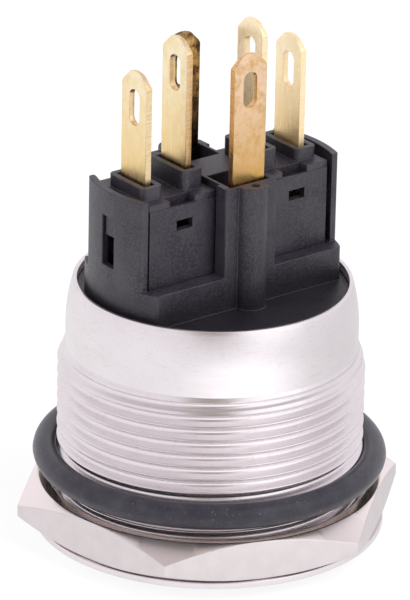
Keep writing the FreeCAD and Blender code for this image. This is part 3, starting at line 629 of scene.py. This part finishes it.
stamped_brass("brass", "stamped_brass", colour=(1.0, 0.88, 0.62), tarnish_and_shade=(0.88, 0.62, 0.26),
              amount=0.65, sheared=(1.0, 0.85, 0.64))
stamped_brass("brass_fresh", "fresh_brass", colour=(1.0, 0.87, 0.62), tarnish_and_shade=(0.97, 0.70, 0.34),
              amount=0.5, sheared=(0.92, 0.76, 0.58), foot=(28.6, 34.5), foot_share=0.9,
              metallic=0.75)
# Painted shade: this brass is near black for a blade that stands in shadow, on top of its tarnish
stamped_brass("brass_dark", "shaded_dark_brass", colour=(0.72, 0.50, 0.22), tarnish_and_shade=(0.09, 0.052, 0.032),
              amount=1.0, sheared=(0.34, 0.22, 0.12), broad=CROSSWISE, foot=(28.0, 35.0),
              stained=(0.42, 0.58))
stamped_brass("brass_aged", "aged_brass", colour=(0.98, 0.70, 0.48), tarnish_and_shade=(0.72, 0.42, 0.12),
              amount=1.0, sheared=(0.95, 0.64, 0.40), broad=CROSSWISE, foot=(28.0, 34.5),
              foot_share=0.9, stained=(0.46, 0.66))
stamped_brass("brass_inner", "inner_brass", colour=(0.85, 0.66, 0.36), tarnish_and_shade=(0.60, 0.42, 0.20),
              amount=0.3, sheared=(0.80, 0.58, 0.30))

# %% [markdown]
# ## Clear plastic
#
# A frosted ring round the cap passes the light of the lamps on. Full transmission would show every
# piece behind it and take long to render, so only a share of the light goes through, and a cloudy
# roughness frosts it.

# %% Clear plastic
LENS_TRANSMISSION, LENS_IOR, LENS_ROUGHNESS = 0.3, 1.49, (0.26, 0.4)


def frosted_clear(slot, name, colour):
    tree, shader = new_finish(slot, name, colour, metallic=0.0, roughness=0.32)
    shader.inputs["Transmission Weight"].default_value = LENS_TRANSMISSION
    shader.inputs["IOR"].default_value = LENS_IOR
    clouds = noise(tree, millimetres(tree), scale=3.0)
    roughened(tree, shader, spread(tree, clouds, NOISE_MIDDLE, LENS_ROUGHNESS))
    raised(tree, shader, clouds, depth=0.004)


frosted_clear("lens", "frosted_lens", colour=(0.92, 0.93, 0.94))

# %% [markdown]
# ## Dressing the pieces
#
# The record of the construction names a finish for each piece. Three blades look older or newer
# than the others, so they get their own. The pieces that are not modelled again are dressed as
# they are. A piece that is modelled again takes over the place, the body and the finish of its
# construction piece, so that it moves with the rest of the switch.

# %% Dress the construction
node_slots = {entry["node"]: entry["material_slot"] for entry in frame["record"]["subparts"]}
own_finish = {"front_led_terminal": "brass_aged", "right_inner_terminal": "brass_fresh",
              "right_outer_terminal": "brass_fresh"}
body_of_node = {name: body for body, names in frame["record"]["behaviour"]["bodies"].items()
                for name in names}


def dress(piece, node_name):
    """Give a piece the finish of a construction node and nothing else."""
    piece.data.materials.clear()
    piece.data.materials.append(FINISHES[own_finish.get(node_name, node_slots[node_name])])


for name, cad_piece in frame["nodes"].items():
    dress(cad_piece, name)
print("dressed", len(frame["nodes"]), "pieces in", len(FINISHES), "finishes")


# %% Take the place of a piece
def stands_for(piece, *names):
    """A finished piece takes the place, the body and the finish of its construction nodes."""
    dress(piece, names[0])
    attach(piece, body_of_node[names[0]])
    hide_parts(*names)
    print(piece.name, triangles(piece), "triangles")


# %% [markdown]
# ## Turned pieces
#
# A lathe part is a line turned about an axis. The line is drawn as by hand, by extruding one
# corner from point to point, and Spin turns it. Doubled corners are merged afterwards, and the
# faces are made to point outwards.

# %% Draw and spin
COLUMNS = 160
# Corners that are closer than this, in millimetres, are one corner
SAME_PLACE = 0.00002


def draw_line(name, points):
    """A chain of corners in the XZ plane from (radius, height) points in millimetres."""
    bpy.ops.object.select_all(action="DESELECT")
    bpy.ops.mesh.primitive_plane_add(size=MM)
    line = bpy.context.object
    line.name = name
    pick(line, "VERT", lambda corner: corner.index > 0)
    bpy.ops.mesh.delete(type="VERT")
    leave_edit()
    corners = [Vector((radius, 0, height)) * MM for radius, height in points]
    line.data.vertices[0].co = corners[0]
    pick_all(line)
    for here, there in zip(corners, corners[1:]):
        bpy.ops.mesh.extrude_vertices_move(TRANSFORM_OT_translate={"value": there - here})
    leave_edit()
    return line


def merged(piece, outward=True):
    """Merge doubled corners, and make the faces of a closed piece point outwards."""
    pick_all(piece)
    bpy.ops.mesh.remove_doubles(threshold=SAME_PLACE * MM)
    if outward:
        bpy.ops.mesh.normals_make_consistent(inside=False)
    leave_edit()


def spun(name, points, closed=True):
    """A turned piece from its outline; a closed outline comes back to its first point."""
    piece = draw_line(name, points + points[:1] if closed else points)
    pick_all(piece)
    bpy.ops.mesh.spin(steps=COLUMNS, angle=2 * math.pi, center=(0, 0, 0), axis=(0, 0, 1))
    leave_edit()
    merged(piece, outward=closed)
    return piece


# %% [markdown]
# ## Soft edges
#
# No real edge is a knife's. Bevel can round all sharp edges by one width, and a weight on each
# edge lets some be rounder than the rest. Even normals then keep the flat faces flat in the light,
# so that only the rounded edges shine.

# %% Soften edges
SOFT_SMOOTHING = 35


def smoothed(piece, angle):
    """Shade a piece smooth, except at edges sharper than an angle in degrees."""
    only(piece)
    bpy.ops.object.shade_smooth_by_angle(angle=math.radians(angle))


def softened(piece, width, segments=3, angle=30, rounds=()):
    """Round every edge sharper than an angle, and those that pass a test in `rounds` by more."""
    widest = max([width] + [radius for radius, test in rounds])
    pick_all(piece)
    bpy.ops.mesh.select_mode(type="EDGE")
    bpy.ops.mesh.select_all(action="DESELECT")
    bpy.ops.mesh.edges_select_sharp(sharpness=math.radians(angle))
    bpy.ops.transform.edge_bevelweight(value=width / widest)
    leave_edit()
    for radius, test in rounds:
        pick(piece, "EDGE", lambda edge: test(*ends(piece, edge)))
        bpy.ops.transform.edge_bevelweight(value=(radius - width) / widest)
        leave_edit()
    bevel = piece.modifiers.new("soft_edges", "BEVEL")
    bevel.limit_method = "WEIGHT"
    bevel.width = widest * MM
    bevel.segments = segments
    bevel.use_clamp_overlap = False
    bpy.ops.object.modifier_apply(modifier=bevel.name)
    smoothed(piece, SOFT_SMOOTHING)
    weights = piece.modifiers.new("even_normals", "WEIGHTED_NORMAL")
    weights.keep_sharp = True
    bpy.ops.object.modifier_apply(modifier=weights.name)


# %% [markdown]
# ## Barrel with its thread
#
# The real barrel has an M22 thread of 1 mm pitch. One turn of it is drawn as a line: half a
# groove, a crest, half a groove. The bottom of the groove is round and wide, and that round bottom
# is what gives each turn its soft run from light to dark. The Screw modifier turns the line round
# and up at once, which is how a lathe cuts it.

# %% Thread sizes in millimetres and degrees
THREAD_RADIUS, THREAD_PITCH, THREAD_DEPTH = 11.0, 1.0, 0.53
ROOT_ROUND, ROOT_PARTS = 0.27, 6
CREST_ROUND, CREST_PARTS = 0.07, 2
FLANK_ANGLE, FLANK_PARTS = 60, 4
THREAD_BOTTOM, THREAD_TOP = 1.5, 14.7
SPARE_TURNS = 2


# %% Thread tooth
def round_points(radius, height, size, first, last, count):
    """Points on an arc; its angles, in degrees, are where the surface looks."""
    angles = [math.radians(first + (last - first) * number / count) for number in range(count + 1)]
    return [(radius + size * math.cos(angle), height + size * math.sin(angle)) for angle in angles]


def tooth():
    """One pitch of the thread, from the middle of one groove to the next, as (radius, height)."""
    root_radius = THREAD_RADIUS - THREAD_DEPTH
    slope = math.radians(FLANK_ANGLE)
    flank_foot = root_radius + ROOT_ROUND * (1 - math.cos(slope))
    flank_head = THREAD_RADIUS - CREST_ROUND * (1 - math.cos(slope))
    flank_height = (flank_head - flank_foot) / math.tan(slope)
    crest_height = ROOT_ROUND * math.sin(slope) + flank_height + CREST_ROUND * math.sin(slope)
    rising = round_points(root_radius + ROOT_ROUND, 0.0, ROOT_ROUND, 180, 180 - FLANK_ANGLE,
                          ROOT_PARTS)
    crest = round_points(THREAD_RADIUS - CREST_ROUND, crest_height, CREST_ROUND, -FLANK_ANGLE, 0,
                         CREST_PARTS)
    foot, head = Vector(rising[-1]), Vector(crest[0])
    rising += [tuple(foot.lerp(head, share / FLANK_PARTS)) for share in range(1, FLANK_PARTS)]
    rising += crest
    falling = [(radius, THREAD_PITCH - height) for radius, height in reversed(rising)]
    return rising + falling


print("one pitch of the thread is a line of", len(tooth()), "points")

# %% Thread
start = THREAD_BOTTOM - THREAD_PITCH
thread = draw_line("thread", [(radius, start + height) for radius, height in tooth()])
turns = thread.modifiers.new("turns", "SCREW")
turns.screw_offset = THREAD_PITCH * MM
turns.iterations = math.ceil((THREAD_TOP - THREAD_BOTTOM) / THREAD_PITCH) + SPARE_TURNS
turns.steps = turns.render_steps = COLUMNS
turns.use_merge_vertices = False
only(thread)
bpy.ops.object.modifier_apply(modifier=turns.name)
print("thread before its trim:", triangles(thread), "triangles")

# %% [markdown]
# ## Ends of the thread
#
# The thread runs past both ends. On the real barrel it fades into the smooth collar over a long
# slope, and a narrow groove relieves its foot. So each corner that stands above the slope or the
# groove is pulled in to it, and what is past the ends is pressed flat on them, where it meets the
# columns of the barrel's body. A boolean cut would do it too, but leaves ragged faces.

# %% Trim the thread
SMOOTH_RADIUS = 10.45
LEAD_LENGTH, RELIEF_WIDTH = 1.3, 0.6
for corner in thread.data.vertices:
    corner_height = min(max(corner.co.z / MM, THREAD_BOTTOM), THREAD_TOP)
    across = corner.co.xy.length / MM
    slope = (THREAD_TOP - corner_height) * (THREAD_RADIUS - SMOOTH_RADIUS) / LEAD_LENGTH
    groove = corner_height - THREAD_BOTTOM - RELIEF_WIDTH
    lead = SMOOTH_RADIUS + max(0.0, min(slope, groove))
    corner.co.xy *= min(across, lead) / across
    corner.co.z = corner_height * MM
merged(thread, outward=False)
print("thread", triangles(thread), "triangles")

# %% [markdown]
# ## Body of the barrel
#
# The body is one spun outline: the smooth collar, which curves in towards its rim, the swaged lip
# that holds the housing, the bore, and the face with its shallow cone. It is left open where the
# thread goes, and the two are joined corner by corner, because both have the same columns.

# %% Barrel body
SMOOTH_TOP, SHOULDER_CURVE, SHOULDER_PARTS = 16.0, 12.5, 10
BARREL_TOP, BARREL_TOP_RADIUS = 19.5, 9.96
LIP_RADIUS, LIP_BOTTOM = 9.66, 18.9
BORE_RADIUS, WINDOW_RADIUS, FACE_THICKNESS = 9.75, 8.55, 1.0
FACE_RADIUS, BEZEL_RADIUS, CONE_RISE = 10.1, 12.6, 1.05


def arc(start, end, radius, count):
    """Points after `start` along an arc to `end` that bulges to the right of the run."""
    start, end = Vector(start), Vector(end)
    half = (end - start) / 2
    out = Vector((half.y, -half.x)).normalized()
    middle = start + half - out * math.sqrt(radius ** 2 - half.length_squared)
    first = math.atan2(*(start - middle).yx)
    last = math.atan2(*(end - middle).yx)
    steps = [first + (last - first) * number / count for number in range(1, count + 1)]
    return [tuple(middle + radius * Vector((math.cos(step), math.sin(step)))) for step in steps]


shoulder, rim = (SMOOTH_RADIUS, SMOOTH_TOP), (BARREL_TOP_RADIUS, BARREL_TOP)
barrel = spun("turned_barrel", [
    (SMOOTH_RADIUS, THREAD_TOP), shoulder, *arc(shoulder, rim, SHOULDER_CURVE, SHOULDER_PARTS),
    (LIP_RADIUS, BARREL_TOP), (LIP_RADIUS, LIP_BOTTOM), (BORE_RADIUS, LIP_BOTTOM),
    (BORE_RADIUS, FACE_THICKNESS), (WINDOW_RADIUS, FACE_THICKNESS), (WINDOW_RADIUS, 0.0),
    (FACE_RADIUS, 0.0), (BEZEL_RADIUS, CONE_RISE), (BEZEL_RADIUS, THREAD_BOTTOM),
    (SMOOTH_RADIUS, THREAD_BOTTOM),
], closed=False)
softened(barrel, width=0.07)
print("barrel body", triangles(barrel), "triangles")

# %% [markdown]
# ## One barrel
#
# Smooth shading would blur the crease where the thread's slope starts from the collar, so the ring
# of edges there is marked sharp.

# %% Join the thread and the body
THREAD_SMOOTHING = 42
LEVEL_GAP, PLACE_GAP = 0.001, 0.01


def on_lead_start(place):
    """Whether a place is on the ring where the smooth collar meets the thread's slope."""
    level = abs(place.z - THREAD_TOP) < LEVEL_GAP
    return level and abs(place.xy.length - SMOOTH_RADIUS) < PLACE_GAP


smoothed(thread, THREAD_SMOOTHING)
only(barrel, thread)
bpy.ops.object.join()
merged(barrel)
pick(barrel, "EDGE", lambda edge: all(on_lead_start(place) for place in ends(barrel, edge)))
bpy.ops.mesh.mark_sharp()
leave_edit()
stands_for(barrel, "barrel")

# %% [markdown]
# ## Nut
#
# A nut is a hexagon turned to a chamfer on both faces. Where the cone meets the six flats it
# leaves the arcs that everyone knows. A spun ring with sloped faces, sliced off at six sides with
# Bisect, gives them exactly. Its thread is hidden by the barrel, so the bore stays plain.

# %% Nut
NUT_SIDES, NUT_FLATS, NUT_BOTTOM, NUT_TOP = 6, 24.8, 1.5, 4.45
NUT_FACE_RADIUS, NUT_CHAMFER, NUT_STOCK = 12.3, 1.08, 1.0
NUT_BORE, NUT_MOUTH = 11.1, 0.5
NUT_FLAT_ANGLE = 0.3
half_angle = math.pi / NUT_SIDES
nut_corner = NUT_FLATS / 2 / math.cos(half_angle)
nut_reach = nut_corner + NUT_STOCK
nut_fall = NUT_CHAMFER * (nut_reach - NUT_FACE_RADIUS) / (nut_corner - NUT_FACE_RADIUS)

nut = spun("chamfered_nut", [
    (NUT_BORE + NUT_MOUTH, NUT_BOTTOM), (NUT_FACE_RADIUS, NUT_BOTTOM),
    (nut_reach, NUT_BOTTOM + nut_fall), (nut_reach, NUT_TOP - nut_fall),
    (NUT_FACE_RADIUS, NUT_TOP), (NUT_BORE + NUT_MOUTH, NUT_TOP),
    (NUT_BORE, NUT_TOP - NUT_MOUTH), (NUT_BORE, NUT_BOTTOM + NUT_MOUTH),
])
print("nut before its flats:", triangles(nut), "triangles,", round(nut_corner, 2), "mm to a corner")

# %% Six flats
cad_corners = [corner.co for corner in frame["nodes"]["hex_nut"].data.vertices]
far_corner = max(cad_corners, key=lambda place: place.xy.length)
nut_turn = math.atan2(far_corner.y, far_corner.x)
for side in range(NUT_SIDES):
    turn = nut_turn + half_angle * (2 * side + 1)
    outward = Vector((math.cos(turn), math.sin(turn), 0))
    pick_all(nut)
    bpy.ops.mesh.bisect(plane_co=outward * NUT_FLATS / 2 * MM, plane_no=outward,
                        use_fill=True, clear_outer=True)
    leave_edit()
merged(nut)
pick_all(nut)
bpy.ops.mesh.dissolve_limited(angle_limit=math.radians(NUT_FLAT_ANGLE))
leave_edit()
softened(nut, width=0.06, segments=2, angle=20)
stands_for(nut, "hex_nut")

# %% [markdown]
# ## Rubber ring
#
# The ring is a round cord that grips the thread: its inner side lies flat against the crests, and
# a fine parting line of the mould runs round its outside. A torus has the shape of the cord from
# the start, and moving some of its corners outwards makes the flat side and the line.

# %% Rubber ring
RING_OUTER, RING_CORD, RING_HEIGHT = 12.68, 0.92, 6.25
RING_SIDES, RING_SMOOTHING = 40, 50
RING_CLEARANCE, PARTING_HEIGHT = 0.03, 0.02
RING_SEAT = THREAD_RADIUS + RING_CLEARANCE
bpy.ops.object.select_all(action="DESELECT")
bpy.ops.mesh.primitive_torus_add(
    major_segments=COLUMNS, minor_segments=RING_SIDES, major_radius=(RING_OUTER - RING_CORD) * MM,
    minor_radius=RING_CORD * MM, location=(0, 0, RING_HEIGHT * MM))
ring = bpy.context.object
ring.name = "rubber_ring"
only(ring)
bpy.ops.object.transform_apply(location=True, rotation=True, scale=True)
for corner in ring.data.vertices:
    across = corner.co.xy.length / MM
    if across < RING_SEAT:
        corner.co.xy *= RING_SEAT / across
    elif abs(corner.co.z / MM - RING_HEIGHT) < PLACE_GAP:
        corner.co.xy *= (across + PARTING_HEIGHT) / across
merged(ring)
smoothed(ring, RING_SMOOTHING)
stands_for(ring, "panel_o_ring")

# %% [markdown]
# ## Mouldings and blades
#
# The construction solids of the housing, the module cases, the blades, the cap and its clear ring
# have the right form with knife-sharp edges. Real moulded and stamped edges are round by a few
# hundredths to a tenth of a millimetre, and that is what catches the light. Modelling them anew
# would only repeat the construction, so a copy of each solid is merged, its flat triangles are
# joined to whole faces, and a bevel rounds its edges. Some corners are rounder: the upright ones
# of the housing, and those at the tip of a blade, which are picked by their places.

# %% Soft copies of construction solids
FLAT_ANGLE = 0.4
TIP_ROUND, TIP_PARTS = 0.3, 4


def soft_copy(name, new_name, width, rounds=(), tips=None):
    """`rounds` are for softened; edges that pass the test in `tips` are rounded before it."""
    only(frame["nodes"][name])
    bpy.ops.object.duplicate()
    piece = bpy.context.object
    piece.name = new_name
    merged(piece)
    pick_all(piece)
    bpy.ops.mesh.dissolve_limited(angle_limit=math.radians(FLAT_ANGLE))
    leave_edit()
    if tips:
        pick(piece, "EDGE", lambda edge: tips(*ends(piece, edge)))
        bpy.ops.mesh.bevel(offset=TIP_ROUND * MM, segments=TIP_PARTS, affect="EDGES")
        leave_edit()
    softened(piece, width, segments=2, rounds=rounds)
    stands_for(piece, name)


# %% Housing and module cases
HOUSING_CORNERS, HOUSING_ROUND = ((8.7, -3.0), (8.47, 3.6), (2.27, -4.2), (2.27, 4.8)), 0.22
BASE_CORNERS, BASE_ROUND = ((8.19, -4.2), (7.85, 4.8)), 0.28
SHORTEST_UPRIGHT, CORNER_GAP = 1.2, 0.03


def upright(*places):
    """A test for upright edges that stand at one of these (x, y) places, on either side."""
    def test(low, high):
        stands = (low.xy - high.xy).length < PLACE_GAP and abs(low.z - high.z) > SHORTEST_UPRIGHT
        return stands and any(abs(abs(low.x) - x) < CORNER_GAP and abs(low.y - y) < CORNER_GAP
                              for x, y in places)
    return test


soft_copy("rear_housing", "moulded_housing", width=0.07,
          rounds=((HOUSING_ROUND, upright(*HOUSING_CORNERS)), (BASE_ROUND, upright(*BASE_CORNERS))))
for hand in ("left", "right"):
    soft_copy(hand + "_module_case", hand + "_module_shell", width=0.05)

# %% Blades
BLADE_THICKNESS, THICKNESS_GAP = 0.5, 0.1
TIP_NEAREST, TIP_FARTHEST = 0.12, 1.1


def tip_corner(top):
    """A test for the blunt corners of a blade's tip, below its slightly domed end at `top`."""
    def test(low, high):
        run = high - low
        through = abs(run.z) < PLACE_GAP and abs(run.length - BLADE_THICKNESS) < THICKNESS_GAP
        return through and TIP_NEAREST < top - low.z < TIP_FARTHEST
    return test


for blade in ("left_outer", "left_inner", "right_inner", "right_outer", "front_led", "rear_led"):
    corners = frame["nodes"][blade + "_terminal"].data.vertices
    blade_top = max(corner.co.z for corner in corners) / MM
    soft_copy(blade + "_terminal", blade + "_blade", width=0.035, tips=tip_corner(blade_top))

# %% Cap and lens
soft_copy("button_cap", "flat_button", width=0.05)
soft_copy("ring_lens", "clear_ring", width=0.04)

# %% [markdown]
# ## Springs
#
# A compression spring is a round wire wound on a helix. A small circle and the Screw modifier make
# it in one go. In use a spring gets shorter while one end stays put.

# %% Springs
WIRE_SIDES, STEPS_PER_TURN, WIRE_SMOOTHING = 12, 28, 50


def wound(name, new_name, wire, turns):
    """A coil with the reach and the place of its construction node."""
    low, high = (Vector(corner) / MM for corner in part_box(name))
    middle = (low + high) / 2
    reach = max(high.x - low.x, high.y - low.y) / 2 - wire
    bpy.ops.object.select_all(action="DESELECT")
    bpy.ops.mesh.primitive_circle_add(
        vertices=WIRE_SIDES, radius=wire * MM, rotation=(math.pi / 2, 0, 0),
        location=(reach * MM, 0, (low.z + wire) * MM))
    coil = bpy.context.object
    coil.name = new_name
    only(coil)
    bpy.ops.object.transform_apply(location=True, rotation=True, scale=True)
    winding = coil.modifiers.new("winding", "SCREW")
    winding.angle = 2 * math.pi * turns
    winding.screw_offset = (high.z - low.z - 2 * wire) * MM
    winding.steps = winding.render_steps = int(STEPS_PER_TURN * turns)
    bpy.ops.object.modifier_apply(modifier=winding.name)
    pick_all(coil)
    bpy.ops.mesh.select_all(action="DESELECT")
    bpy.ops.mesh.select_non_manifold()
    bpy.ops.mesh.fill_holes(sides=WIRE_SIDES)
    leave_edit()
    for corner in coil.data.vertices:
        corner.co += Vector((middle.x, middle.y, 0)) * MM
    merged(coil)
    smoothed(coil, WIRE_SMOOTHING)
    stands_for(coil, name)
    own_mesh(coil)


wound("return_spring", "wound_return_spring", wire=0.25, turns=4.5)
for hand in ("left", "right"):
    wound(hand + "_module_spring", "wound_" + hand + "_spring", wire=0.1, turns=7.0)

# %% [markdown]
# ## View
#
# The Standard view transform shows white as white, as a cut-out needs; the default one presses it
# down to a pale grey.

# %% View settings
bpy.context.scene.view_settings.view_transform = "Standard"
